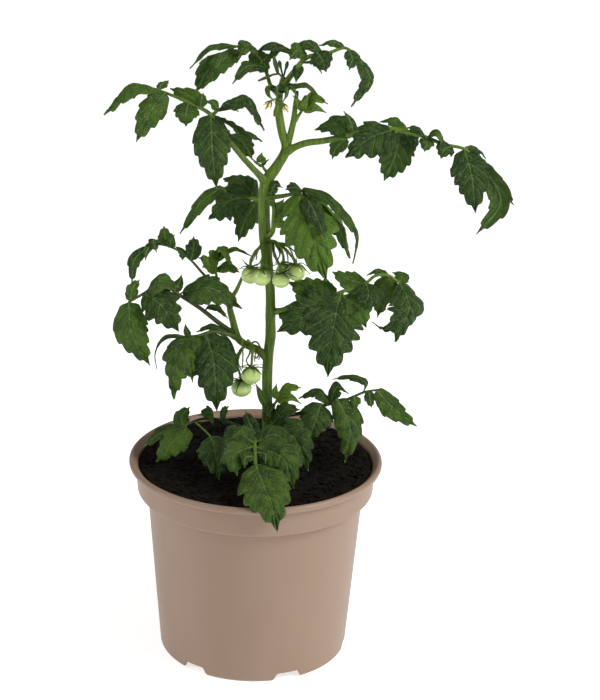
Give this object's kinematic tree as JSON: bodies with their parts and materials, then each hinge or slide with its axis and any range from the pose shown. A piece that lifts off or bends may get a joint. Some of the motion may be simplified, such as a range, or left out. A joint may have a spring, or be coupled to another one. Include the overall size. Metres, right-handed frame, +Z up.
{
  "type": "potted tomato plant",
  "caption": "Young tomato plant with hanging toothed leaves, green cherry fruit and yellow flowers, standing in a tapered plastic nursery pot of dark soil.",
  "frame": {"origin": "on the pot's axis at the level of the ground it stands on", "axes": "+Z up, the plant's front looks along -Y, +X to its right as seen from the front"},
  "size_m": [0.2917, 0.1976, 0.4721],
  "materials": {
    "pot_plastic": "satin",
    "soil": "matte",
    "stem": "matte",
    "leaf": "satin",
    "fruit": "gloss",
    "petals": "matte"
  },
  "bodies": {
    "root": {"pot": "pot_plastic", "soil": "soil", "main_stem": "stem", "leaf_upper_left": "leaf", "leaf_top_left": "leaf", "leaf_top_right": "leaf", "leaf_upper_right": "leaf", "leaf_middle_left": "leaf", "leaf_middle_right": "leaf", "leaf_middle": "leaf", "leaf_lower_right": "leaf", "leaf_front": "leaf", "leaf_front_right": "leaf", "leaf_base_left": "leaf", "leaf_side_left": "leaf", "leaf_side_top": "leaf", "shoot_side_tip": "leaf", "leaf_hanging_left": "leaf", "shoot_axil_upper": "leaf", "shoot_axil_middle": "leaf", "shoot_axil_lower": "leaf", "shoot_tip_right": "leaf", "shoot_tip_top": "leaf", "truss_upper": "stem", "truss_lower": "stem", "tomato_upper_1": "fruit", "tomato_upper_2": "fruit", "tomato_upper_3": "fruit", "tomato_upper_4": "fruit", "tomato_upper_5": "fruit", "tomato_lower_1": "fruit", "tomato_lower_2": "fruit", "truss_flowers": "stem", "flower_left": "petals", "flower_right": "petals"}
  },
  "joints": []
}
